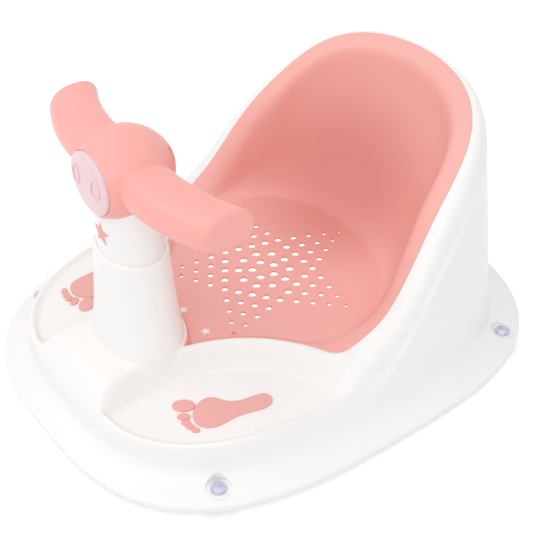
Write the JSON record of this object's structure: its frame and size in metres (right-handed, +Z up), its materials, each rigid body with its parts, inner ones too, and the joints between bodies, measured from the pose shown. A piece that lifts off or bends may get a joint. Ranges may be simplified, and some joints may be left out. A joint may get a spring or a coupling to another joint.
{
  "type": "baby bath seat",
  "caption": "moulded baby bath seat with a raised back, soft drained liner, foot dishes, a T-shaped grab handle on a post in front, and suction cups under a wide flange",
  "frame": {"origin": "centre of the bounding box's bottom face, on the surface the suction cups stand on", "axes": "+X across the seat, to the right for someone in front of the handle; +Y from the handle to the backrest; +Z up"},
  "size_m": [0.335, 0.409, 0.2405],
  "materials": {
    "white_shell": "soft satin white moulding",
    "pink_liner": "matt soft liner",
    "pink_handle": "satin moulding",
    "pale_nose": "satin moulding",
    "pink_trim": "soft pads and badge",
    "clear_cup": "translucent soft vinyl",
    "steel": "zinc plated"
  },
  "bodies": {
    "root": {"base_shell": "white_shell", "seat_liner": "pink_liner", "footprint_left": "pink_trim", "footprint_right": "pink_trim", "post_collar": "white_shell", "star_badge": "pink_trim", "handle_front_shell": "pink_handle", "handle_rear_shell": "pink_handle", "handle_screws": "steel", "nose_cap": "pale_nose", "suction_cup_front_left": "clear_cup", "suction_cup_front_right": "clear_cup", "suction_cup_rear_left": "clear_cup", "suction_cup_rear_right": "clear_cup", "collar_screw": "steel", "collar_washer": "steel"}
  },
  "joints": []
}
